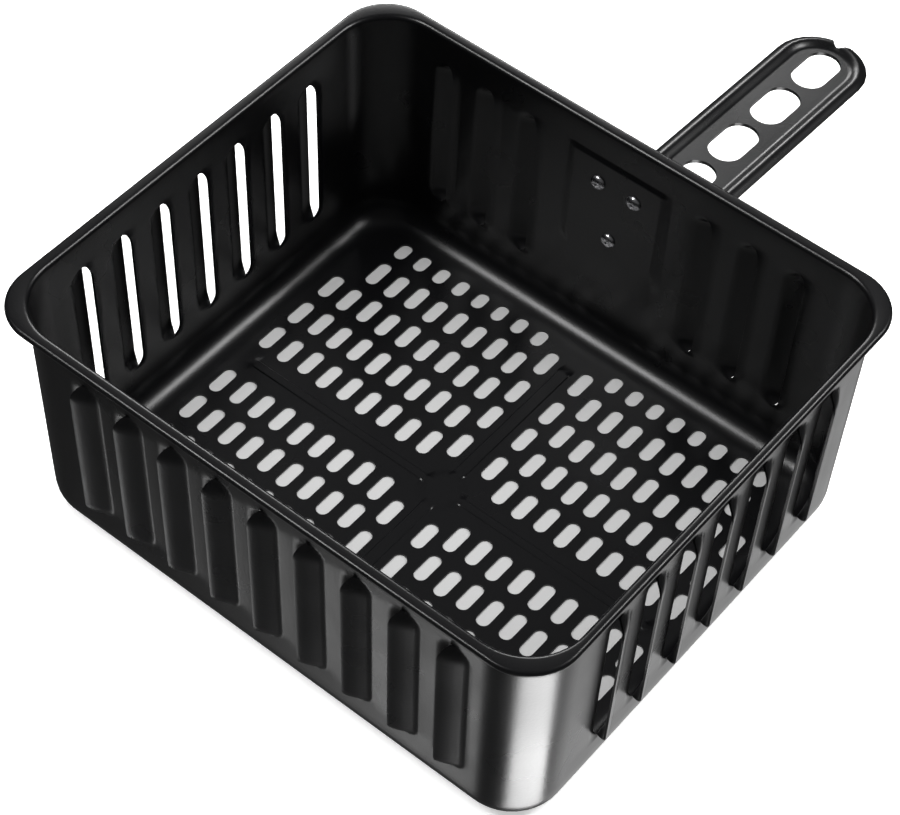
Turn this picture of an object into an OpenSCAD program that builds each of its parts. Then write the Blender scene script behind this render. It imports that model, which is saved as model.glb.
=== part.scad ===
// Air-fryer drawer basket: one deep-drawn, perforated steel shell with pressed
// louvres and a rolled rim, and a stamped handle bracket held on by three rivets.
// Units are millimetres.  +Z is up.  The origin is on the underside of the floor,
// in the middle of the shell; the handle points along +Y.

/* [Shell] */
// Length of the shell over the rim, along X
rim_length = 243.6; // [230:0.2:260]
// Width of the shell over the rim, along Y
rim_width = 212.6; // [200:0.2:230]
// Height from the underside of the floor to the top of the rim
shell_height = 107.7; // [104:0.1:112]
// Thickness of the steel sheet
sheet = 0.8; // [0.6:0.1:1]
// How far each wall leans outwards from the floor to the rim
draft = 2; // [1:0.1:3]
// Outer corner radius of the walls, at the floor
corner_r = 21; // [18:0.5:24]
// Outer radius of the rounding between the floor and the walls
floor_fillet = 12; // [9:0.5:14]

/* [Rim] */
// Outer corner radius of the rim
rim_corner_r = 20; // [18:0.2:22]
// Outer radius of the curl along the edge of the rim
curl_r = 1.5; // [1.4:0.1:2.4]
// Outer radius of the bend from the wall onto the rim
bend_r = 2; // [1.2:0.1:2.2]
// How far the rim stands out beyond the top of the wall
rim_overhang = 4.4; // [4.2:0.1:5.6]

/* [Floor slots] */
// Pitch of the slot columns, along X
column_pitch = 10; // [9.5:0.1:10.2]
// Pitch of the slots in a column, along Y
row_pitch = 17.62; // [17:0.01:18]
// Distance of the first column from the middle of the floor
first_column = 8.42; // [8:0.01:9]
// Distance of the middle of the first slot from the middle of the floor
first_row = 14.1; // [13.6:0.1:14.6]
// Distance of the first slot of the two middle columns, which clear the boss
first_row_middle = 21.2; // [20.6:0.1:21.8]
// Width of a slot
slot_w = 5.5; // [4:0.1:6]
// Length of a slot
slot_l = 13.3; // [11:0.1:14]
// Length of the short slots that end a column
short_slot_l = 8.8; // [7:0.1:10]
// Pitches from the first slot of a column to its short slot
short_slot_row = 3.9; // [3.8:0.01:4]

/* [Louvres] */
// Pitch of the louvres along a wall
louvre_pitch = 20.2; // [19:0.1:20.5]
// Shift of the row of cut edges, towards the open side of the louvres
louvre_shift = 0.8; // [0:0.1:2]
// Height of the lower end of a louvre above the underside of the floor
louvre_bottom = 20.8; // [20:0.2:26]
// Height of the upper end of a louvre
louvre_top = 94.8; // [92:0.2:98]
// Width of a louvre, from its bent edge to its cut edge
louvre_w = 9.4; // [9:0.1:11]
// How far the free edge of a louvre stands out from the wall
louvre_lift = 4.5; // [3:0.1:5.4]
// Length over which the ends of a louvre slope back to the wall
hood_slope = 6; // [5:0.5:14]

/* [Handle bracket] */
// Distance of the middle of the bracket from the middle of the wall
handle_x = -2; // [-4:0.5:4]
// Thickness of the bracket's steel
plate = 1.5; // [1.2:0.1:2]
// Width of the strip over its beads
strip_w = 40; // [36:0.5:42]
// Length of the strip, from its bend to its tip
strip_length = 162.6; // [140:0.2:180]
// Height of the top of the strip's web above the floor's underside, at the wall
strip_root_z = 49.8; // [48.6:0.2:54]
// Angle by which the strip droops, in degrees
strip_droop = 3.7; // [0:0.1:6]
// Width of the edge bead
bead_w = 7.5; // [5:0.5:8]
// Height of the crest of the edge bead above the underside of the web
bead_h = 3; // [2:0.1:3.4]
// Length of the oval holes
oval_l = 25.4; // [20:0.2:27]
// Width of the oval holes
oval_w = 14.8; // [12:0.2:17]
// Pitch of the oval holes
oval_pitch = 30; // [28:0.2:32]
// Number of oval holes
ovals = 5; // [3:1:5]

/* [Rivets] */
// Diameter of the shank
shank_d = 4; // [3:0.2:4.8]
// Diameter of the domed head, inside the shell
head_d = 6.6; // [5.6:0.2:7.6]
// Height of the domed head
head_h = 1.7; // [1:0.1:2.2]
// Distance between the two upper rivets
rivet_gap = 16.5; // [14:0.5:20]
// Height of the upper rivets above the underside of the floor
rivet_upper = 81.8; // [78:0.2:86]
// Height of the lower rivet
rivet_lower_z = 55.6; // [54:0.2:64]

/* [Hidden] */
$fn = 64;
eps = 0.01;

// Half sizes of the outer faces of the walls, where they would meet the floor
half_x = rim_length / 2 - rim_overhang - draft;
half_y = rim_width / 2 - rim_overhang - draft;
// Centres of the corner rounding of the walls
corner_x = half_x - corner_r;
corner_y = half_y - corner_r;
// Lean of the walls, as an angle
lean = atan(draft / shell_height);
// Middle of the rim's curl
curl_z = shell_height - curl_r;
curl_x = rim_length / 2 - curl_r;
curl_y = rim_width / 2 - curl_r;
curl_corner = rim_corner_r - curl_r;

// Distance of the outer face of a wall from its corner centre at height z
function wall_r(z) = corner_r + draft * z / shell_height;

module ring(r1, r0) {
    difference() {
        circle(r = r1);
        circle(r = r0);
    }
}

// Section of wall, floor rounding and bend, from the corner centre outwards
module wall_section() {
    fillet_x = wall_r(floor_fillet) - floor_fillet;
    top = shell_height - bend_r;
    polygon([
        [wall_r(floor_fillet) - sheet, floor_fillet],
        [wall_r(floor_fillet), floor_fillet],
        [wall_r(top), top],
        [wall_r(top) - sheet, top]]);
    translate([fillet_x, floor_fillet]) intersection() {
        ring(floor_fillet, floor_fillet - sheet);
        translate([0, -floor_fillet]) square(floor_fillet);
    }
    translate([wall_r(top) - sheet + bend_r, top]) intersection() {
        ring(bend_r, bend_r - sheet);
        translate([-bend_r, 0]) square(bend_r);
    }
    // Short flats that run into the floor and into the rim's flat
    translate([fillet_x - 1, 0]) square([1, sheet]);
    translate([wall_r(top) - sheet + bend_r, shell_height - sheet]) square([0.3, sheet]);
}

// Section of the rolled curl, about its own middle: open below, on the wall side
module curl_section() {
    difference() {
        ring(curl_r, curl_r - sheet);
        polygon([[0, 0], [-3, 3], [-3, -3], [-1.2, -3]]);
        translate([-3, 0]) square([3, 3]);
    }
    // Short flat that runs into the rim's flat
    translate([-0.5, curl_r - sheet]) square([0.5, sheet]);
}

// Carries a section round a rounded rectangle whose corner centres are at (cx, cy)
module sweep(cx, cy, shift = 0) {
    for (side = [0, 1]) mirror([side, 0, 0]) {
        translate([cx, cy, 0]) rotate([90, 0, 0]) linear_extrude(2 * cy)
            translate([shift, 0]) children();
        for (end = [0, 1]) mirror([0, end, 0])
            translate([cx, cy, 0]) rotate_extrude(angle = 90)
                translate([shift, 0]) children();
    }
    for (side = [0, 1]) mirror([0, side, 0])
        translate([-cx, cy, 0]) rotate([90, 0, 90]) linear_extrude(2 * cx)
            translate([shift, 0]) children();
}

module rounded_rect(hx, hy, r) {
    square([2 * hx, 2 * (hy - r)], center = true);
    square([2 * (hx - r), 2 * hy], center = true);
    for (sx = [-1, 1], sy = [-1, 1])
        translate([sx * (hx - r), sy * (hy - r)]) circle(r = r);
}

module slot(l, w) {
    square([w, l - w], center = true);
    for (s = [-1, 1]) translate([0, s * (l - w) / 2]) circle(d = w);
}

// One quarter of the slot field; neighbouring slots are staggered by a hair
module quarter_of_slots() {
    stagger = 0.35;
    for (col = [0:9]) {
        start = col == 0 ? first_row_middle : first_row;
        rows = col == 9 ? 2 : 3;
        for (row = [0:rows])
            translate([first_column + col * column_pitch,
                       start + row * row_pitch - ((col + row) % 2 == 0 ? stagger : -stagger)])
                slot(slot_l, slot_w);
        if (col > 0 && col < 9)
            translate([first_column + col * column_pitch, start + short_slot_row * row_pitch])
                slot(short_slot_l, slot_w);
    }
}

// Height of the cross pressed up out of the floor, and the length and width of its
// two bands
emboss_h = 0.4;
long_band = [194, 3.2];
cross_band = [4.6, 154];

// Outline of the pressed cross and of the eight-sided boss in its middle
module cross_outline(grow = 0) {
    square([long_band[0], long_band[1] + 2 * grow], center = true);
    square([cross_band[0] + 2 * grow, cross_band[1]], center = true);
    polygon([for (p = [[8, 3.4], [4.6, 8], [-4.6, 8], [-8, 3.4],
                       [-8, -3.4], [-4.6, -8], [4.6, -8], [8, -3.4]])
             [p[0] + sign(p[0]) * grow, p[1] + sign(p[1]) * grow]]);
}

module floor_plate() {
    edge = wall_r(floor_fillet) - floor_fillet;
    difference() {
        union() {
            linear_extrude(sheet)
                rounded_rect(corner_x + edge, corner_y + edge, edge);
            translate([0, 0, sheet - eps]) linear_extrude(emboss_h + eps)
                cross_outline(emboss_h);
        }
        translate([0, 0, -1]) linear_extrude(3)
            for (mx = [0, 1], my = [0, 1])
                mirror([mx, 0, 0]) mirror([0, my, 0]) quarter_of_slots();
        translate([0, 0, -eps]) linear_extrude(emboss_h + eps) cross_outline();
    }
}

// A louvre's hood is turned about an axis behind the wall: this is its radius, and
// the radius at which it meets the wall's face
hood_r = (pow(louvre_w, 2) + pow(louvre_lift, 2)) / (2 * louvre_lift);
wall_face_r = hood_r - louvre_lift;
hood_mid = (louvre_top + louvre_bottom) / 2;
// Fall of the hood's ends per millimetre of radius, and their thickness along Z
hood_fall = hood_slope / louvre_lift;
hood_skin = sheet * sqrt(1 + pow(hood_fall, 2));
// Radius just behind the wall's inner face
behind_r = wall_face_r - sheet - 0.5;

// Height of the hood's sloping end above its middle, at radius r
function hood_end(r) = (louvre_top - louvre_bottom) / 2 + (wall_face_r - r) * hood_fall;

// Quarter of the space round the hood's axis, from the radius x0 outwards
module hood_side(x0) {
    translate([x0, -2 * hood_r, -shell_height])
        cube([2 * hood_r, 2 * hood_r, 2 * shell_height]);
}

// Hood of one louvre.  The cut edge is the plane y = 0, the wall's face is x = 0
module hood() {
    tip = hood_end(hood_r);
    root = hood_end(behind_r);
    inner_tip = hood_end(hood_r - sheet) - hood_skin;
    inner_root = root - hood_skin;
    translate([-wall_face_r, 0, 0]) intersection() {
        rotate_extrude() polygon([
            [behind_r, root], [hood_r, tip], [hood_r, -tip], [behind_r, -root],
            [behind_r, -inner_root], [hood_r - sheet, -inner_tip],
            [hood_r - sheet, inner_tip], [behind_r, inner_root]]);
        hood_side(wall_face_r - sheet / 2);
    }
}

// Opening in the wall behind one louvre
module hood_slot() {
    tip = hood_end(hood_r - sheet) - hood_skin;
    root = hood_end(behind_r) - hood_skin;
    translate([-wall_face_r, 0, 0]) intersection() {
        rotate_extrude() polygon([
            [0, root], [behind_r, root], [hood_r - sheet, tip],
            [hood_r - sheet, -tip], [behind_r, -root], [0, -root]]);
        hood_side(behind_r);
    }
}

// Places a louvre on the +X wall, at a distance along the wall from its middle
module on_wall(depth, along) {
    translate([depth + draft * hood_mid / shell_height, along, hood_mid])
        rotate([0, lean, 0]) children();
}

// The louvres of all four walls: steps of the pitch on each
short_wall = [for (k = [-3:3]) k];
long_wall = [for (k = [-4:4]) k];
handle_wall = [for (k = [-4:4]) if (abs(k) > 1) k];
// Angle about Z, distance of the wall from the middle, and louvre steps
walls = [
    [0, half_x, short_wall],
    [90, half_y, handle_wall],
    [180, half_x, short_wall],
    [270, half_y, long_wall]];

module each_louvre() {
    for (wall = walls) rotate([0, 0, wall[0]])
        for (k = wall[2]) on_wall(wall[1], k * louvre_pitch)
            mirror([0, 1, 0]) translate([0, louvre_shift, 0]) children();
}

// Recess pressed inwards, where the bracket's plate sits
pad_w = strip_w + 0.6;
pad_top = 93;
pad_bottom = 46.6;
pad_depth = 0.8;
pad_mid = (pad_top + pad_bottom) / 2;

// Outer face of the handle wall, with z = 0 at the height of the recess's middle
module on_handle_wall() {
    translate([handle_x, half_y + draft * pad_mid / shell_height, pad_mid])
        rotate([-lean, 0, 0]) children();
}

// Block of the recess between two depths, larger than the recess by grow all round
module pad(y0, y1, grow) {
    tall = pad_top - pad_bottom + 2 * grow;
    translate([-pad_w / 2 - grow, y0, -tall / 2])
        cube([pad_w + 2 * grow, y1 - y0, tall]);
}

// Rivet positions on the handle wall, measured from the recess's middle
left_at = [-rivet_gap / 2, rivet_upper - pad_mid];
right_at = [rivet_gap / 2, rivet_upper - pad_mid];
lower_at = [-0.5, rivet_lower_z - pad_mid];

module rivet_holes() {
    for (at = [left_at, right_at, lower_at])
        translate([at[0], 6, at[1]]) rotate([90, 0, 0]) cylinder(h = 12, d = shank_d);
}

module basket_shell() {
    color("#1b1b1c") difference() {
        union() {
            difference() {
                union() {
                    floor_plate();
                    sweep(corner_x, corner_y) wall_section();
                    sweep(curl_x - curl_corner, curl_y - curl_corner, curl_corner)
                        translate([0, curl_z]) curl_section();
                    translate([0, 0, shell_height - sheet]) linear_extrude(sheet) difference() {
                        rounded_rect(curl_x, curl_y, curl_corner);
                        inner = wall_r(shell_height - bend_r) - sheet + bend_r;
                        rounded_rect(corner_x + inner, corner_y + inner, inner);
                    }
                }
                each_louvre() hood_slot();
            }
            each_louvre() hood();
            on_handle_wall() pad(-sheet - pad_depth, -sheet / 2, sheet);
        }
        on_handle_wall() pad(-pad_depth, 1, 0);
        on_handle_wall() rivet_holes();
    }
}

// Middle of the bend between the plate and the strip, measured from half_y
bend_in = 2;
plate_out = plate - pad_depth;
bend_z = (strip_root_z + bend_in / cos(strip_droop)
          - tan(strip_droop) * (plate_out + bend_in) / cos(lean))
         / (1 + tan(strip_droop) * tan(lean));
bend_y = (plate_out + bend_in) / cos(lean) + tan(lean) * bend_z;
// Directions in the (y, z) plane: up the plate, along the strip, and across each
up = [sin(lean), cos(lean)];
along = [cos(strip_droop), -sin(strip_droop)];
to_plate = [-cos(lean), sin(lean)];
to_web = [-sin(strip_droop), -cos(strip_droop)];
plate_l = (pad_top - 0.5 - bend_z) / cos(lean);

// Side view of the plate, the bend and the root of the strip
module bracket_side() {
    root = 1;
    polygon([bend_in * to_plate, (bend_in + plate) * to_plate,
             (bend_in + plate) * to_plate + plate_l * up, bend_in * to_plate + plate_l * up]);
    polygon([bend_in * to_web, (bend_in + plate) * to_web,
             (bend_in + plate) * to_web + root * along, bend_in * to_web + root * along]);
    intersection() {
        ring(bend_in + plate, bend_in);
        polygon([[0, 0], 10 * to_plate, 14 * (to_plate + to_web) / 1.4, 10 * to_web]);
    }
}

// The strip in its own frame: y runs along it from the bend, z = 0 is the web's top.
// The beads start a little way out, and the first oval is just short of the tip's middle
tip_r = strip_w / 2;
tip_y = strip_length - tip_r;
bead_start = 10;
first_oval = 2;

// Section of the edge bead: an arc of sheet, open below
module bead_section() {
    arc_r = (pow(bead_w / 2, 2) + pow(bead_h, 2)) / (2 * bead_h);
    intersection() {
        translate([0, bead_h - arc_r]) ring(arc_r, arc_r - plate);
        translate([-bead_w / 2, 0]) square([bead_w, bead_h]);
    }
}

module half_bead_section() {
    intersection() {
        bead_section();
        square([bead_w, bead_h]);
    }
}

module strip() {
    bead_line = tip_r - bead_w / 2;
    web_r = tip_r - bead_w + plate;
    difference() {
        union() {
            translate([0, 0, -plate]) linear_extrude(plate) {
                translate([-web_r, 0]) square([2 * web_r, tip_y]);
                translate([0, tip_y]) circle(r = web_r);
                translate([-tip_r, 0]) square([2 * tip_r, bead_start]);
            }
            for (s = [-1, 1]) translate([s * bead_line, 0, -plate]) {
                translate([0, tip_y, 0]) rotate([90, 0, 0])
                    linear_extrude(tip_y - bead_start) bead_section();
                translate([0, bead_start, 0]) rotate_extrude() half_bead_section();
            }
            translate([0, tip_y, -plate]) rotate_extrude(angle = 180)
                translate([bead_line, 0]) bead_section();
        }
        for (k = [0:ovals - 1])
            translate([0, tip_y - first_oval - k * oval_pitch, -10]) linear_extrude(20)
                slot(oval_l, oval_w);
        // Gap at the tip, where the two ends of the bead meet
        translate([0, strip_length, -10]) linear_extrude(20)
            polygon([[-4.6, 1], [-3.4, -3], [-2, -4.6], [0.6, -3.6], [2.4, 1]]);
    }
}

module handle_bracket() {
    color("#1b1b1c") {
        difference() {
            translate([handle_x - tip_r, half_y + bend_y, bend_z])
                rotate([90, 0, 90]) linear_extrude(strip_w) bracket_side();
            on_handle_wall() rivet_holes();
        }
        translate([handle_x, half_y + bend_y, bend_z]) rotate([-strip_droop, 0, 0])
            translate([0, 0, -bend_in]) strip();
    }
}

// Diameters of the set head's foot and flat top, and its height
set_foot_d = 6.2;
set_top_d = 5;
set_h = 1.2;

// A rivet on the handle wall: domed head inside, round set head outside
module rivet(at) {
    dome_r = (pow(head_d / 2, 2) + pow(head_h, 2)) / (2 * head_h);
    inside = -sheet - pad_depth;
    outside = plate - pad_depth;
    on_handle_wall() translate([at[0], 0, at[1]]) rotate([-90, 0, 0]) {
        translate([0, 0, inside]) cylinder(h = outside - inside + 1, d = shank_d);
        intersection() {
            translate([0, 0, inside - head_h + dome_r]) sphere(r = dome_r);
            translate([0, 0, inside - head_h]) cylinder(h = head_h, d = head_d + 1);
        }
        translate([0, 0, outside]) cylinder(h = set_h, d1 = set_foot_d, d2 = set_top_d);
    }
}

module left_rivet() {
    color("#c9c9cc") rivet(left_at);
}

module right_rivet() {
    color("#c9c9cc") rivet(right_at);
}

module lower_rivet() {
    color("#c9c9cc") rivet(lower_at);
}

basket_shell();
handle_bracket();
left_rivet();
right_rivet();
lower_rivet();
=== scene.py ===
import bpy
import numpy as np
from mathutils import Matrix, Vector


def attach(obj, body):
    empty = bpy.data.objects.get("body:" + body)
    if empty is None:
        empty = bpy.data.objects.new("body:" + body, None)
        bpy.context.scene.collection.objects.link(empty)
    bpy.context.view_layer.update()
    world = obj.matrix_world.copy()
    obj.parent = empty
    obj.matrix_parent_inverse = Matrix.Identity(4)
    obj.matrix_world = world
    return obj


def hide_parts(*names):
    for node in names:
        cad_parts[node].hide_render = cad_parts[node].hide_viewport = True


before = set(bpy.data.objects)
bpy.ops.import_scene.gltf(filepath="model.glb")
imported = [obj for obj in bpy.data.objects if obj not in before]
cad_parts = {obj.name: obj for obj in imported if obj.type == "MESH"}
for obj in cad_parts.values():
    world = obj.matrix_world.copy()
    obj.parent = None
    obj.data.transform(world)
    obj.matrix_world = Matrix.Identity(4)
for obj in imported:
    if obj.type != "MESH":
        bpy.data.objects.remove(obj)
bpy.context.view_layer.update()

# ------------------------------------------------------------------ camera
# A long lens, looking down at the front corner of the basket, with the handle
# running away to the upper right.  The three rows are the camera's own axes.
camera_right = Vector((0.7749875, 0.6310230, 0.0347037))
camera_down = Vector((0.5096436, -0.5915569, -0.6247590))
camera_ahead = Vector((-0.3737080, 0.5018670, -0.7800461))
camera_eye = Vector((0.34640, -0.46354, 0.77181))
camera_lens_mm = 102.4

camera_data = bpy.data.cameras.new("camera")
camera_data.lens = camera_lens_mm
camera_data.sensor_width = 36
camera_data.clip_start = 0.05
camera_data.clip_end = 20
camera = bpy.data.objects.new("camera", camera_data)
bpy.context.scene.collection.objects.link(camera)
camera_turn = Matrix((camera_right, -camera_down, -camera_ahead)).transposed()
camera.matrix_world = Matrix.Translation(camera_eye) @ camera_turn.to_4x4()
bpy.context.scene.camera = camera
bpy.context.scene.view_settings.view_transform = "Standard"

# ------------------------------------------------------------- basket shell
# The shell is one sheet of steel, deep drawn, with its floor slots punched, its
# wall louvres lanced and pressed outwards and its rim rolled under, and then
# sprayed with a black non-stick coating.
sheet = 0.8
half_size = np.array([115.4, 99.9])
corner_r = 21.0
wall_top = 105.7
shell_height = 107.7
wall_flare = 2.0
floor_fillet = 12.0
curl_r = 1.5
curl_corner_r = 18.5
rim_half = np.array([121.8, 106.3])
curl_half = rim_half - curl_r - curl_corner_r
right_rim_in = 1.2
corner_at = half_size - corner_r
floor_edge_r = 9.22
bend_r = 2.0

louvre_pitch = 20.2
louvre_shift = -0.8
louvre_w = 9.4
louvre_lift = 4.4
louvre_mid = 57.8
louvre_half = 37.0
louvre_slope = 6.0
hood_foot = 0.2
hood_power = 1.35
lip_w, lip_depth = 4.0, 1.2
cut_round_l, cut_round_w, cut_fade = 7.0, 4.6, 8.0

recess_depth = 0.8
recess_from, recess_to = -20.6, 24.6
recess_bottom, recess_top = 45.4, 94.0
recess_side_slope, recess_foot_slope, recess_top_slope = 1.9, 1.0, 1.1

slot_w, slot_l, short_slot_l = 5.5, 13.3, 8.8
column_pitch, row_pitch = 10.0, 17.62
first_column, first_row, first_row_middle = 8.42, 14.1, 21.2
slot_stagger = 0.35
short_slot_row = 3.9
emboss_h, emboss_slope, emboss_end_slope = 0.4, 0.4, 1.5
long_band_l, long_band_w = 97, 1.9
cross_band_w, cross_band_l = 2.6, 77.5
boss_half, boss_slope = 8.6, 1.2

# Lines of the floor's lattice, from its middle outwards
lattice_x = np.concatenate([[0, 2.2, 2.6, 3.42], 3.42 + np.arange(1, 61) * column_pitch / 6])
lattice_y = np.concatenate([[0, 1.5, 1.9], np.arange(3, 51) * row_pitch / 10])
lattice_x[-1] = corner_at[0] + floor_edge_r
lattice_y[-1] = corner_at[1] + floor_edge_r
nx, ny = len(lattice_x) - 1, len(lattice_y) - 1
line_x = np.concatenate([-lattice_x[:0:-1], lattice_x])
line_y = np.concatenate([-lattice_y[:0:-1], lattice_y])


def floor_height(x, y):
    """Top of the floor: flat, and raised by the emboss inside a cross of two bands and
    an eight-sided boss, each with a narrow sloping edge."""
    ax, ay = abs(x), abs(y)
    long_band = (np.clip((long_band_w - ay) / emboss_slope, 0, 1)
                 * np.clip((long_band_l - ax) / emboss_end_slope, 0, 1))
    cross_band = (np.clip((cross_band_w - ax) / emboss_slope, 0, 1)
                  * np.clip((cross_band_l - ay) / emboss_end_slope, 0, 1))
    boss_r = np.maximum(np.maximum(ax, ay), 0.804 * ax + 0.594 * ay)
    boss = np.clip((boss_half - boss_r) / boss_slope, 0, 1)
    return sheet + emboss_h * np.maximum(np.maximum(long_band, cross_band), boss)


def floor_points(x, y):
    """Points of the floor.  Outside the corner centres the square corner is turned into a
    quarter disc: each of its two coordinates is shortened by the root of one less half
    the other's square."""
    a = np.clip((abs(x) - corner_at[0]) / floor_edge_r, 0, 1)
    b = np.clip((abs(y) - corner_at[1]) / floor_edge_r, 0, 1)
    px = np.where(a * b > 0, corner_at[0] + floor_edge_r * a * np.sqrt(1 - b * b / 2), abs(x))
    py = np.where(a * b > 0, corner_at[1] + floor_edge_r * b * np.sqrt(1 - a * a / 2), abs(y))
    return np.stack([np.sign(x) * px, np.sign(y) * py, floor_height(x, y)], -1)


def slot_ring(width, length, side_steps, end_steps, long_steps):
    """Outline of a round-ended slot, anticlockwise from the lower left: half circles joined
    by straight sides, with as many points as the block of lattice around it has."""
    extra = (end_steps - side_steps) // 2
    step = np.pi / end_steps
    ends = np.arange(end_steps) * step
    straight = np.linspace(-1, 1, long_steps - 2 * extra + 1)[:-1] * (length - width) / 2
    low = np.stack([-np.cos(ends), -np.sin(ends)], -1) * width / 2 - [0, (length - width) / 2]
    right = np.stack([np.full(len(straight), width / 2), straight], -1)
    ring = np.concatenate([low, right, -low, -right])
    return np.roll(ring, -extra, axis=0)


def block_ring(i, j, wide, tall):
    """Lattice places round a block, anticlockwise from its lower left corner."""
    up, across = np.arange(tall), np.arange(wide)
    ring_i = np.concatenate([across, 0 * up + wide, wide - across, 0 * up])
    ring_j = np.concatenate([0 * across, up, 0 * across + tall, tall - up])
    return i[:, None] + ring_i, j[:, None] + ring_j


def grid_quads(index):
    """Four-sided faces between neighbours of a two-dimensional array of vertex numbers."""
    return np.stack([index[:-1, :-1], index[1:, :-1], index[1:, 1:], index[:-1, 1:]], -1)


# Floor lattice, with the blocks that hold a slot left out
gx, gy = np.meshgrid(line_x, line_y, indexing="ij")
floor_verts = floor_points(gx, gy).reshape(-1, 3)
floor_index = np.arange(gx.size).reshape(gx.shape)
floor_quads = grid_quads(floor_index)
open_block = np.zeros(floor_quads.shape[:2], bool)

col, row = [a.ravel() for a in np.meshgrid(np.arange(10), np.arange(5), indexing="ij")]
short = row == 4
there = ~((col == 0) & short) & ~((col == 9) & (row > 2))
col, row, short = col[there], row[there], short[there]
start_line = np.where(col == 0, 7, 3)
start_y = np.where(col == 0, first_row_middle, first_row)
slot_x = first_column + col * column_pitch
slot_y = start_y + row * row_pitch + np.where((col + row) % 2 == 0, -slot_stagger, slot_stagger)
slot_y = np.where(short, start_y + short_slot_row * row_pitch, slot_y)

verts, quads = [floor_verts], []
count = len(floor_verts)
for is_short, length, tall in ((False, slot_l, 10), (True, short_slot_l, 7)):
    c, r = col[short == is_short], row[short == is_short]
    cx, cy = slot_x[short == is_short], slot_y[short == is_short]
    low_i, low_j = 3 + 6 * c, start_line[short == is_short] + 10 * r
    ring = slot_ring(slot_w, length, 6, 10, tall)
    for sx in (-1, 1):
        for sy in (-1, 1):
            i0 = nx + (low_i if sx > 0 else -low_i - 6)
            j0 = ny + (low_j if sy > 0 else -low_j - tall)
            ri, rj = block_ring(i0, j0, 6, tall)
            hole = np.stack([sx * cx, sy * cy], -1)[:, None] + ring
            edge = floor_index[ri, rj]
            inner = count + np.arange(hole[..., 0].size).reshape(edge.shape)
            verts.append(floor_points(hole[..., 0], hole[..., 1]).reshape(-1, 3))
            count += hole[..., 0].size
            around = np.stack([edge, np.roll(edge, -1, 1), np.roll(inner, -1, 1), inner], -1)
            quads.append(around.reshape(-1, 4))
            block = (i0[:, None, None] + np.arange(6)[:, None], j0[:, None, None] + np.arange(tall))
            open_block[block] = True
quads.append(floor_quads[~open_block])

# Profile of the wall, from the floor's edge up to the curl: distance from the corner
# centre, and height.  The curl has corner centres of its own, farther out.
lean = np.arctan(wall_flare / shell_height)
fillet_turn = np.linspace(-np.pi / 2, -lean, 9)
fillet = np.stack([floor_edge_r + (floor_fillet - sheet) * np.cos(fillet_turn),
                   floor_fillet + (floor_fillet - sheet) * np.sin(fillet_turn)], -1)
wall_z = np.array([15.5, 18.5, 20, 20.8, 21.4, 22.1, 22.9, 23.9, 25.1, 26.6, 28.4, 31, 35, 40.5,
                   45.4, 46.4, 53, 60, 67, 74, 80, 84.6, 87.2, 89, 90.5, 91.8, 92.9, 94, 94.8, 96,
                   98.5, 102, wall_top])
wall = np.stack([corner_r + wall_flare * wall_z / shell_height - sheet, wall_z], -1)
bend_turn = np.linspace(np.pi, np.pi / 2, 7)[1:]
bend = wall[-1] + bend_r * np.stack([1 + np.cos(bend_turn), np.sin(bend_turn)], -1)
curl_turn = np.linspace(np.pi / 2, -np.radians(150), 18)
curl = np.stack([curl_corner_r + curl_r * np.cos(curl_turn),
                 shell_height - curl_r + curl_r * np.sin(curl_turn)], -1)
profile = np.concatenate([fillet, wall, bend, curl])
is_curl = np.concatenate([np.zeros(len(profile) - len(curl)), np.ones(len(curl))])
# The place of a column changes from the floor's lattice to the louvres' lines on the
# flat of the wall, between the floor rounding and the louvres
column_mix = np.clip((profile[:, 1] - floor_fillet) / (wall_z[2] - floor_fillet), 0, 1)
column_mix = column_mix ** 2 * (3 - 2 * column_mix)

louvre_lines = np.array([0, 0.5, 1.2, 2.2, 3.8, 5.8, 7.8, 9.2, 10.4, 16.2, 17.6, 18.9])


def wall_lines(reach, steps, lead):
    """Lines along one wall: the same few before and after the slit of each louvre."""
    slits = steps * louvre_pitch + louvre_shift
    lines = (slits[:, None] + louvre_lines).ravel()[:-3]
    first = np.concatenate([np.linspace(-reach, slits[0] - lip_w, lead), slits[0] - [2.6, 1.3]])
    return np.concatenate([first, lines, [(lines[-1] + reach) / 2, reach]])


long_lines = wall_lines(corner_at[0], np.arange(-4, 5), 4)
short_lines = wall_lines(corner_at[1], np.arange(-3, 4), 2)
# The handle wall has no louvre in its middle, where the recess has lines of its own
before = long_lines[long_lines < -29.7]
after = long_lines[long_lines > 38.7]
handle_lines = np.concatenate([
    before, np.linspace(-29.8, recess_from, 5)[1:], np.linspace(-18.7, 22.7, 27),
    [recess_to, 26.5, 28.5, 30.8, 33.2, 35.6, 37, 38.3], after])
# Each wall: its lines, the louvres on it, and the floor lattice's lines along it
walls = ((short_lines, np.arange(-3, 4), line_y, corner_at[1]),
         (handle_lines, np.array([-4, -3, -2, 2, 3, 4]), line_x, corner_at[0]),
         (short_lines, np.arange(-3, 4), line_y, corner_at[1]),
         (long_lines, np.arange(-4, 5), line_x, corner_at[0]))

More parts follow.
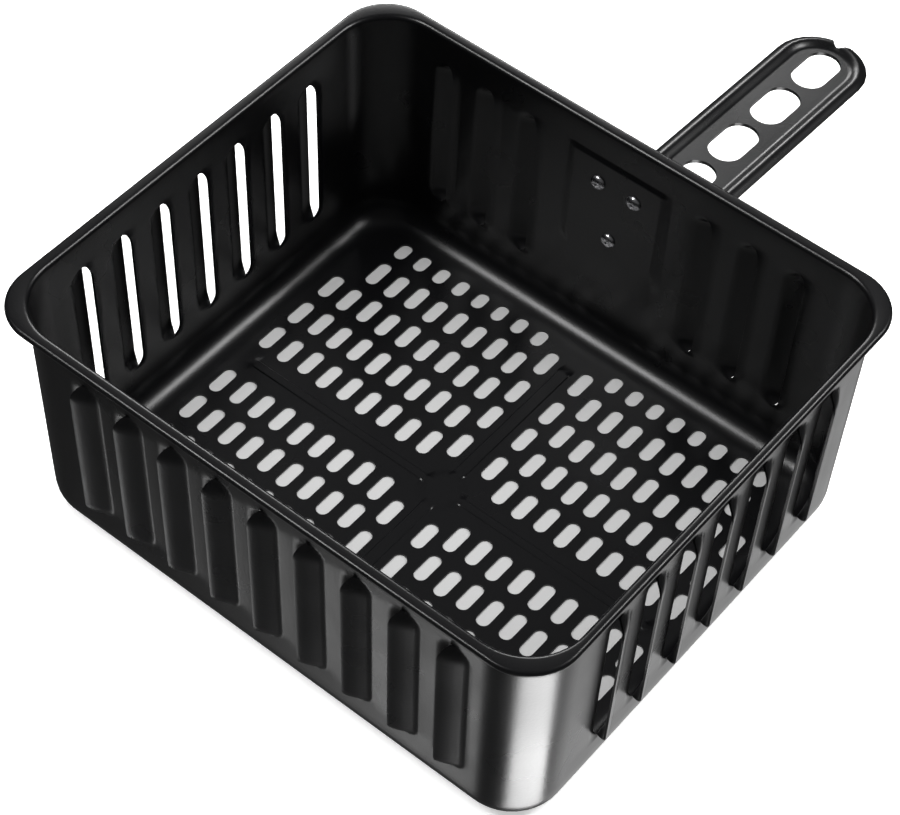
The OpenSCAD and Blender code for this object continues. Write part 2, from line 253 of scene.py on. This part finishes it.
# For each column: its place on the wall and on the floor, its distance after a slit and
# before one, the wall it is on, and whether it is the first of a slit's two columns
no_slit = 99
along_wall, along_floor, from_slit, to_slit, side, is_split = [], [], [], [], [], []
for k, (lines, steps, lattice, reach) in enumerate(walls):
    corner = corner_r * np.pi / 4 * np.linspace(1, 0, 8)
    on_wall = np.concatenate([-reach - corner[:-1], lines, reach + corner[::-1][1:]])
    over = np.clip((abs(lattice) - reach) / floor_edge_r, 0, 1)
    on_floor = np.sign(lattice) * (np.minimum(abs(lattice), reach)
                                   + corner_r * np.arcsin(over / np.sqrt(2)))
    slits = steps * louvre_pitch + louvre_shift
    offset = on_wall[:, None] - slits
    gap = np.where(offset < -1e-6, no_slit, abs(offset)).min(1)
    lead = np.where(offset > 1e-6, no_slit, abs(offset)).min(1)
    at = np.flatnonzero(gap < 1e-6)
    # A slit has two columns: the plain wall's edge, then the louvre's free edge
    take = np.sort(np.concatenate([np.arange(len(on_wall) - 1), at]))
    first_of_two = np.concatenate([take[1:] == take[:-1], [False]])
    along_wall.append(on_wall[take])
    along_floor.append(on_floor[take])
    from_slit.append(np.where(first_of_two, no_slit, gap[take]))
    to_slit.append(np.where(np.roll(first_of_two, 1), no_slit, lead[take]))
    is_split.append(first_of_two)
    side.append(np.full(len(take), k))
along_wall, along_floor, from_slit, to_slit, side, is_split = [
    np.concatenate(a) for a in (along_wall, along_floor, from_slit, to_slit, side, is_split)]


def cut_curve(z):
    """How far a cut has turned towards the bent side of its louvre: nothing along the
    middle, a quarter ellipse at each end, and fading away beyond the end."""
    past = abs(z - louvre_mid) - louvre_half
    t = np.clip(1 + past / cut_round_l, 0, 1)
    return cut_round_w * (1 - np.sqrt(1 - t ** 2)) * np.clip(1 - past / cut_fade, 0, 1)


def louvre_bulge(across, z, is_cut):
    """How far the sheet stands out at a distance from a louvre's straight cut: nearly a
    slope across, a parabola along its two ends, and a rounded foot at the wall."""
    end = np.clip((abs(z - louvre_mid) - louvre_half + louvre_slope) / louvre_slope, 0, 9)
    height = louvre_lift * (1 - (across / louvre_w) ** hood_power - end ** 2)
    bulge = hood_foot * np.logaddexp(0, np.clip(height / hood_foot, -40, 40))
    bulge = np.where(height < -1.5, 0, bulge)
    return np.where(is_cut & (end > 0.999), 0, bulge)


def lip(across, z):
    """How far the plain edge of a slit is bent inwards: a parabola across the lip, rising
    from nothing at the two ends of the slit."""
    rise = np.clip((louvre_half - abs(z - louvre_mid)) / cut_round_l, 0, 1)
    return lip_depth * np.clip(1 - across / lip_w, 0, 1) ** 2 * rise * (2 - rise)


def recess(across, z):
    """How far the handle wall is pressed inwards behind the bracket's plate: flat, with
    sloping edges all round."""
    wide = (np.clip((across - recess_from) / recess_side_slope, 0, 1)
            * np.clip((recess_to - across) / recess_side_slope, 0, 1))
    tall = (np.clip((z - recess_bottom) / recess_foot_slope, 0, 1)
            * np.clip((recess_top - z) / recess_top_slope, 0, 1))
    return recess_depth * wide * tall


# A point of the wall is the corner centre or a point on the line between two of them,
# plus the profile's distance along the wall's normal
height = profile[:, 1:]
on_wall_face = (height > floor_fillet) * (1 - is_curl[:, None])
share = np.clip(1 - np.minimum(from_slit / louvre_w, to_slit / lip_w), 0, 1)
turned_in = cut_curve(height) * share * on_wall_face
bulge = louvre_bulge(from_slit + turned_in, height, from_slit < 1e-6) - lip(to_slit, height)
radius = profile[:, :1] + bulge * on_wall_face
along = along_floor + (along_wall - along_floor) * column_mix[:, None] + turned_in
radius = radius - np.where(side == 1, recess(along, profile[:, 1:]), 0)
reach = np.where(side % 2 == 0, corner_at[1], corner_at[0])
depth = np.where(side % 2 == 0, corner_at[0], corner_at[1])
curl_reach = np.where(side % 2 == 0, curl_half[1], curl_half[0])
curl_depth = np.where(side % 2 == 0, curl_half[0], curl_half[1])
straight = np.clip(along, -reach, reach)
turn = (along - straight) / corner_r
local_x = depth + (curl_depth - depth) * is_curl[:, None] + radius * np.cos(turn)
local_y = straight * (1 + (curl_reach / reach - 1) * is_curl[:, None]) + radius * np.sin(turn)
quarter_cos, quarter_sin = np.array([1, 0, -1, 0])[side], np.array([0, 1, 0, -1])[side]
wall_verts = np.stack([local_x * quarter_cos - local_y * quarter_sin,
                       local_x * quarter_sin + local_y * quarter_cos,
                       np.broadcast_to(profile[:, 1:], local_x.shape)], -1)
# The rim of the right wall is a little narrower: the curl is pulled in, most at the right
pull = 0.5 + wall_verts[..., 0] / (2 * rim_half[0])
wall_verts[..., 0] -= right_rim_in * is_curl[:, None] * pull
wall_index = count + np.arange(local_x.size).reshape(local_x.shape)
wall_index = np.concatenate([wall_index, wall_index[:, :1]], 1)
wall_quads = grid_quads(wall_index)[:, ~is_split]
verts.append(wall_verts.reshape(-1, 3))
quads.append(wall_quads.reshape(-1, 4))


def weld(points, faces, grain=0.002):
    """Points that fall in the same cell, one grain across, become one."""
    key = np.round(points / grain).astype(np.int64)
    _, first, inverse = np.unique(key, axis=0, return_index=True, return_inverse=True)
    return points[first], inverse.reshape(-1)[faces]


def add_mesh(name, points_mm, faces):
    """A mesh object in metres, from points in millimetres and four-sided faces.  Faces
    that a weld left with fewer corners are dropped."""
    data = bpy.data.meshes.new(name)
    data.from_pydata((points_mm * 0.001).tolist(), [], faces.tolist())
    data.validate()
    piece = bpy.data.objects.new(name, data)
    bpy.context.scene.collection.objects.link(piece)
    return piece


def give_thickness(piece, thickness_mm, sharp_deg=38):
    """Solidify away from the modelled face, made part of the mesh; edges sharper than the
    angle stay crisp."""
    solid = piece.modifiers.new("thickness", "SOLIDIFY")
    solid.thickness = thickness_mm * 0.001
    solid.offset = -1
    solid.use_even_offset = True
    solid.use_quality_normals = True
    depsgraph = bpy.context.evaluated_depsgraph_get()
    finished = bpy.data.meshes.new_from_object(piece.evaluated_get(depsgraph))
    piece.modifiers.clear()
    piece.data = finished
    finished.shade_smooth()
    finished.set_sharp_from_angle(angle=np.radians(sharp_deg))


shell = add_mesh("pressed_shell", *weld(np.concatenate(verts), np.concatenate(quads)))
give_thickness(shell, sheet)
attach(shell, "root")
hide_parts("basket_shell")


def linear(hex_colour):
    """An sRGB hex colour as linear red, green, blue and alpha."""
    part = np.array([int(hex_colour[i:i + 2], 16) for i in (1, 3, 5)]) / 255
    part = np.where(part <= 0.04045, part / 12.92, ((part + 0.055) / 1.055) ** 2.4)
    return (*part.tolist(), 1.0)


def add_node(tree, kind, settings=None, inputs=None, links=None):
    """One node with its settings, its input values and its incoming links."""
    node = tree.nodes.new(kind)
    for name, value in (settings or {}).items():
        setattr(node, name, value)
    for name, value in (inputs or {}).items():
        node.inputs[name].default_value = value
    for name, socket in (links or {}).items():
        tree.links.new(socket, node.inputs[name])
    return node


# Sprayed PTFE non-stick on steel: a satin black film with a faint orange peel about a
# millimetre across, fine mineral flecks, and a gloss that wanders a little
coating = bpy.data.materials.new("black_nonstick_coating")
coating.use_nodes = True
tree = coating.node_tree
tree.nodes.clear()
place = add_node(tree, "ShaderNodeTexCoord")
peel = add_node(tree, "ShaderNodeTexNoise", {}, {"Scale": 900.0, "Detail": 2.0},
                {"Vector": place.outputs["Object"]})
flecks = add_node(tree, "ShaderNodeTexNoise", {}, {"Scale": 2600.0, "Detail": 1.0},
                  {"Vector": place.outputs["Object"]})
cloud = add_node(tree, "ShaderNodeTexNoise", {}, {"Scale": 28.0, "Detail": 3.0},
                 {"Vector": place.outputs["Object"]})
fleck_share = add_node(tree, "ShaderNodeMapRange", {},
                       {"From Min": 0.62, "From Max": 0.78, "To Max": 0.5},
                       {"Value": flecks.outputs["Fac"]})
film = add_node(tree, "ShaderNodeMix", {"data_type": "RGBA"}, {}, {
    "Factor": fleck_share.outputs["Result"]})
film.inputs[6].default_value = linear("#070708")
film.inputs[7].default_value = linear("#18181a")
gloss = add_node(tree, "ShaderNodeMapRange", {},
                 {"From Min": 0.3, "From Max": 0.7, "To Min": 0.26, "To Max": 0.32},
                 {"Value": cloud.outputs["Fac"]})
bump = add_node(tree, "ShaderNodeBump", {}, {"Strength": 0.12, "Distance": 0.0002},
                {"Height": peel.outputs["Fac"]})
skin = add_node(tree, "ShaderNodeBsdfPrincipled", {}, {"IOR": 1.42}, {
    "Base Color": film.outputs[2], "Roughness": gloss.outputs["Result"],
    "Normal": bump.outputs["Normal"]})
add_node(tree, "ShaderNodeOutputMaterial", {}, {}, {"Surface": skin.outputs["BSDF"]})
shell.data.materials.clear()
shell.data.materials.append(coating)

# ------------------------------------------------------------ handle bracket
# A stamping of 1.5 mm steel: a plate against the wall, a bend, and a strip with a bead
# pressed along its edge and five oval holes.  It has the same coating as the shell.
plate = 1.5
handle_x = -2.0
strip_half = 20.0
strip_reach = 142.6
web_half = 12.0
bead_w = 7.6
bead_h = 1.8
notch_depth = 5.2
plate_corner_r = 5
bend_inside = 2.0
plate_l = 40.9
bend_at = np.array([103.558, 51.567])
droop = np.radians(3.7)
up_plate = np.array([np.sin(lean), np.cos(lean)])
out_strip = np.array([np.cos(droop), -np.sin(droop)])
to_plate = np.array([-np.cos(lean), np.sin(lean)])
to_web = np.array([-np.sin(droop), -np.cos(droop)])
oval_w, oval_l, oval_pitch = 14.8, 25.4, 30.0
first_oval = strip_reach - 2.0

edge_steps = np.array([0, 0.6, 1.4, 2.5, 3.75, 5, 6, 6.9, 7.6, 8.0])
web_steps = np.linspace(-web_half, web_half, 9)


def bead(edge, fade):
    """Height of the edge bead: half a sine wave up from the edge and half a cosine wave
    down to the web."""
    outer = np.sin(np.pi * edge / bead_w)
    inner = 0.5 + 0.5 * np.cos(2 * np.pi * (edge - bead_w / 2) / bead_w)
    return bead_h * fade * np.where(edge < bead_w / 2, outer, np.where(edge < bead_w, inner, 0))


def strip_points(x, y, edge):
    """Points of the strip's top, at x across, y along it from the bend."""
    fade = np.clip((y - 3) / 9, 0, 1)
    lift = bead(edge, fade ** 2 * (3 - 2 * fade))
    yz = bend_at + bend_inside * to_web + y[..., None] * out_strip - lift[..., None] * to_web
    return np.concatenate([(handle_x + x)[..., None], yz], -1)


right_edge = strip_half - edge_steps[::-1]
across = np.concatenate([edge_steps - strip_half, web_steps[1:-1], right_edge])
cell_lines = np.concatenate([np.linspace(5.6, 125.6, 49), np.linspace(125.6, strip_reach, 8)[1:]])
strip_y = np.concatenate([[0, 1, 2.4, 4], cell_lines])
sx, sy = np.meshgrid(across, strip_y, indexing="ij")
strip_verts = strip_points(sx, sy, strip_half - abs(sx)).reshape(-1, 3)
strip_index = np.arange(sx.size).reshape(sx.shape)

# Bend and plate: an arc from the strip round to the wall, then straight up to a top edge
# with rounded corners
arc = np.linspace(0, 1, 8)[1:, None]
arc = to_web * np.cos(arc * np.pi / 2) + to_plate * np.sin(arc * np.pi / 2)
arc = bend_inside * arc / np.linalg.norm(arc, axis=1, keepdims=True)
corner_turn = np.linspace(np.pi / 12, np.pi / 2, 6)
plate_y = np.concatenate([np.linspace(0, plate_l - plate_corner_r, 9)[1:],
                          plate_l - plate_corner_r * np.cos(corner_turn)])
plate_yz = bend_inside * to_plate + plate_y[:, None] * up_plate
root_yz = bend_at + np.concatenate([arc, plate_yz])
into_corner = np.clip(1 + (plate_y - plate_l) / plate_corner_r, 0, 1)
corner_in = plate_corner_r * (1 - np.sqrt(1 - into_corner ** 2))
half_at = np.concatenate([np.full(len(arc), strip_half), strip_half - corner_in])
root_x = handle_x + across[:, None] / strip_half * half_at
root_verts = np.stack([root_x, np.broadcast_to(root_yz[:, 0], root_x.shape),
                       np.broadcast_to(root_yz[:, 1], root_x.shape)], -1)
root_index = len(strip_verts) + np.arange(root_x.size).reshape(root_x.shape)
root_index = np.concatenate([strip_index[:, :1], root_index], 1)

# Round tip: the bead carried round half a circle, with a notch where its ends meet
tip_turn = np.radians([0, 15, 30, 45, 57, 66, 73, 78, 81.5, 84.5, 87.5, 90.5, 93.4, 96.3, 99.3,
                       102.3, 105.3, 108.8, 113.8, 121, 130, 142, 154, 167, 180])
from_notch = (tip_turn - np.radians(93.4)) / np.radians(10.6)
notch = notch_depth * np.sqrt(np.clip(1 - from_notch ** 2, 0, 1))
tip_edge = notch + (1 - notch / edge_steps[-1]) * edge_steps[:, None]
tip_r = strip_half - tip_edge
tip_x, tip_y = tip_r * np.cos(tip_turn), strip_reach + tip_r * np.sin(tip_turn)
tip_verts = strip_points(tip_x, tip_y, tip_edge)
tip_first = len(strip_verts) + root_x.size
tip_index = tip_first + np.arange(tip_r.size).reshape(tip_r.shape)

# Oval holes, each in its block of the web, 8 cells wide and 12 long; the last block ends
# in the round tip.  The strip's first four lines are its root.
oval_blocks = np.arange(4)
ring_i, ring_j = block_ring(0 * oval_blocks + len(edge_steps) - 1, 4 + 12 * oval_blocks, 8, 12)
oval_edge = strip_index[ring_i, ring_j]
oval = slot_ring(oval_w, oval_l, 8, 14, 12)
oval_y = first_oval - oval_pitch * (4 - oval_blocks)
tip_block_j = 4 + 48
web_i = len(edge_steps) - 1 + np.arange(9)
last_edge = np.concatenate([
    strip_index[web_i[:-1], tip_block_j],
    strip_index[web_i[-1], tip_block_j:tip_block_j + 7],
    tip_index[-1, :-1],
    strip_index[web_i[0], tip_block_j + 7:tip_block_j:-1]])
bottom = np.arange(14) * np.pi / 14
top = np.arange(24) * np.pi / 24
side_run = np.linspace(-1, 1, 5)[:-1] * (oval_l - oval_w) / 2
last_oval = np.concatenate([
    np.stack([-np.cos(bottom), -np.sin(bottom)], -1) * oval_w / 2 - [0, (oval_l - oval_w) / 2],
    np.stack([0 * side_run + oval_w / 2, side_run], -1),
    np.stack([np.cos(top), np.sin(top)], -1) * oval_w / 2 + [0, (oval_l - oval_w) / 2],
    np.stack([0 * side_run - oval_w / 2, -side_run], -1)])
last_oval = np.roll(last_oval, -3, axis=0)

oval_x = np.broadcast_to(oval[:, 0], oval_edge.shape)
oval_along = oval_y[:, None] + oval[:, 1]
oval_verts = strip_points(oval_x, oval_along, 0 * oval_x + web_half).reshape(-1, 3)
last_x, last_y = last_oval[:, 0], first_oval + last_oval[:, 1]
last_verts = strip_points(last_x, last_y, 0 * last_x + web_half)
bracket_verts = [strip_verts, root_verts.reshape(-1, 3), tip_verts.reshape(-1, 3)]
base = sum(len(v) for v in bracket_verts)
oval_inner = base + np.arange(oval_edge.size).reshape(oval_edge.shape)
last_inner = base + oval_edge.size + np.arange(len(last_edge))[None]
last_edge = last_edge[None]
bracket_verts += [oval_verts, last_verts]

web_open = np.zeros((len(across) - 1, len(strip_y) - 1), bool)
web_open[len(edge_steps) - 1:len(edge_steps) + 7, 4:] = True


def ring_quads(edge, inner):
    """Four-sided faces between a closed ring of vertices and a ring inside it."""
    return np.stack([edge, np.roll(edge, -1, 1), np.roll(inner, -1, 1), inner], -1).reshape(-1, 4)


bracket_quads = np.concatenate([
    grid_quads(strip_index)[~web_open], grid_quads(root_index).reshape(-1, 4)[:, ::-1],
    grid_quads(tip_index).reshape(-1, 4)[:, ::-1],
    ring_quads(oval_edge, oval_inner), ring_quads(last_edge, last_inner)])
bracket = add_mesh("handle_strip", *weld(np.concatenate(bracket_verts), bracket_quads))
give_thickness(bracket, plate)
bracket.data.materials.clear()
bracket.data.materials.append(coating)
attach(bracket, "root")
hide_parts("handle_bracket")

# -------------------------------------------------------------------- rivets
# Three aluminium rivets hold the bracket: a domed head inside the basket and a set,
# flat-topped head outside.  They are bare and bright, with fine marks from the press.
head_r = 3.3
head_h = 1.7
shank_r = 2.0
recess_mid = 69.8
wall_at = half_size[1] + wall_flare * recess_mid / shell_height
wall_mid = np.array([handle_x, wall_at, recess_mid])
inside = -(sheet + recess_depth)
outside = plate - recess_depth
set_head = np.array([[3.1, 0], [3.1, 0.5], [2.9, 0.85], [2.4, 1.15], [1.2, 1.2], [0, 1.2]])
dome_turn = np.linspace(np.pi / 2, 0.12, 9)
dome = np.stack([head_r * np.cos(dome_turn), inside - head_h * np.sin(dome_turn)], -1)
rivet_profile = np.concatenate([
    dome, [[head_r, inside], [shank_r, inside], [shank_r, outside]], set_head + [0, outside]])
rivet_profile[0, 0] = 0


def turned(profile_points, segments=32):
    """A profile of radius and distance carried round the rivet's own axis."""
    angle = np.arange(segments + 1) * 2 * np.pi / segments
    r, d = profile_points[:, :1], profile_points[:, 1:]
    return np.stack([r * np.cos(angle), d + 0 * angle, r * np.sin(angle)], -1)


bright = bpy.data.materials.new("bright_aluminium")
bright.use_nodes = True
tree = bright.node_tree
tree.nodes.clear()
place = add_node(tree, "ShaderNodeTexCoord")
marks = add_node(tree, "ShaderNodeTexNoise", {}, {"Scale": 700.0, "Detail": 2.0},
                 {"Vector": place.outputs["Object"]})
polish = add_node(tree, "ShaderNodeMapRange", {}, {"To Min": 0.2, "To Max": 0.3},
                  {"Value": marks.outputs["Fac"]})
metal_bump = add_node(tree, "ShaderNodeBump", {}, {"Strength": 0.04, "Distance": 0.0001},
                      {"Height": marks.outputs["Fac"]})
metal = add_node(tree, "ShaderNodeBsdfPrincipled", {},
                 {"Base Color": linear("#dcdcdf"), "Metallic": 1.0},
                 {"Roughness": polish.outputs["Result"], "Normal": metal_bump.outputs["Normal"]})
add_node(tree, "ShaderNodeOutputMaterial", {}, {}, {"Surface": metal.outputs["BSDF"]})

rivet_places = (("left_rivet", -8.25, 12.0), ("right_rivet", 8.25, 12.0),
                ("lower_rivet", -0.5, -14.2))
for name, x, z in rivet_places:
    own = turned(rivet_profile)
    points = wall_mid + np.stack([
        x + own[..., 0],
        own[..., 1] * np.cos(lean) + (z + own[..., 2]) * np.sin(lean),
        (z + own[..., 2]) * np.cos(lean) - own[..., 1] * np.sin(lean)], -1)
    index = np.arange(points[..., 0].size).reshape(points.shape[:2])
    faces = grid_quads(index).reshape(-1, 4)
    rivet = add_mesh(name + "_bright", *weld(points.reshape(-1, 3), faces))
    rivet.data.shade_smooth()
    rivet.data.set_sharp_from_angle(angle=np.radians(38))
    rivet.data.materials.append(bright)
    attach(rivet, "root")
    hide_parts(name)

# ---------------------------------------------------------- floor and lights
# A plain white table, which glows a little and isn't seen in the gloss of the basket.
# A large box overhead lights it; small boxes round the basket, high and low, give the
# gloss its lines.
table_half, table_drop, card_drop = 6000.0, 0.3, 0.1
card_half = [103, 88]
square = np.array([[-1, -1, 0], [1, -1, 0], [1, 1, 0], [-1, 1, 0]])
one_face = np.array([[0, 1, 2, 3]])
table = add_mesh("table", square * table_half - [0, 0, table_drop], one_face)
paper = bpy.data.materials.new("white_paper")
paper.use_nodes = True
tree = paper.node_tree
tree.nodes.clear()
matt = add_node(tree, "ShaderNodeBsdfDiffuse", {}, {"Color": linear("#f4f4f4")})
glow = add_node(tree, "ShaderNodeEmission", {}, {"Color": linear("#ffffff"), "Strength": 0.5})
both = add_node(tree, "ShaderNodeAddShader")
tree.links.new(matt.outputs["BSDF"], both.inputs[0])
tree.links.new(glow.outputs["Emission"], both.inputs[1])
add_node(tree, "ShaderNodeOutputMaterial", {}, {}, {"Surface": both.outputs["Shader"]})
table.data.materials.append(paper)
table.visible_glossy = False
table.visible_shadow = False

# A grey card under the basket: painted shade, darkening the table seen through the floor slots
# where the basket's shadow falls; it also keeps the low lights out of the floor slots
card = add_mesh("painted_shadow_card", square * [*card_half, 1] - [0, 0, card_drop], one_face)
shadow_grey = bpy.data.materials.new("painted_shadow_card")
shadow_grey.use_nodes = True
tree = shadow_grey.node_tree
tree.nodes.clear()
# The card's grey is painted shade: the table under the basket made darker than the table round it
matt = add_node(tree, "ShaderNodeBsdfDiffuse", {}, {"Color": linear("#989898")})
add_node(tree, "ShaderNodeOutputMaterial", {}, {}, {"Surface": matt.outputs["BSDF"]})
card.data.materials.append(shadow_grey)


def soft_box(name, direction, distance, width, height, power, shows_in_gloss=True):
    """A rectangular area light in a direction from the basket, facing it."""
    data = bpy.data.lights.new(name, "AREA")
    data.shape = "RECTANGLE"
    data.size, data.size_y, data.energy = width, height, power
    box = bpy.data.objects.new(name, data)
    box.location = Vector(direction).normalized() * distance
    box.rotation_euler = Vector(direction).to_track_quat("Z", "Y").to_euler()
    box.visible_glossy = shows_in_gloss
    bpy.context.scene.collection.objects.link(box)


soft_box("overhead_box", (0.05, 0.1, 1), 2.4, 2.0, 2.0, 95, shows_in_gloss=False)
soft_box("floor_box", (-0.37, 0.50, 0.78), 2.4, 1.2, 1.2, 0.8)
soft_box("right_back_box", (0.49, 0.50, 0.71), 1.7, 0.45, 0.45, 13)
soft_box("left_front_box", (-0.37, -0.43, 0.82), 1.7, 0.45, 0.45, 13)
soft_box("low_back_strip", (-0.55, 0.70, 0.45), 1.8, 0.9, 0.16, 14)
soft_box("corner_bounce", (0.56, -0.27, -0.78), 1.3, 0.75, 0.6, 17)
soft_box("right_bounce", (0.37, 0.50, -0.78), 1.5, 1.0, 1.0, 3.4)
soft_box("left_bounce", (-0.27, -0.56, -0.78), 1.4, 0.1, 0.5, 0.7)

world = bpy.data.worlds.new("studio")
bpy.context.scene.world = world
world.use_nodes = True
world.node_tree.nodes["Background"].inputs["Color"].default_value = linear("#ffffff")
world.node_tree.nodes["Background"].inputs["Strength"].default_value = 0.06
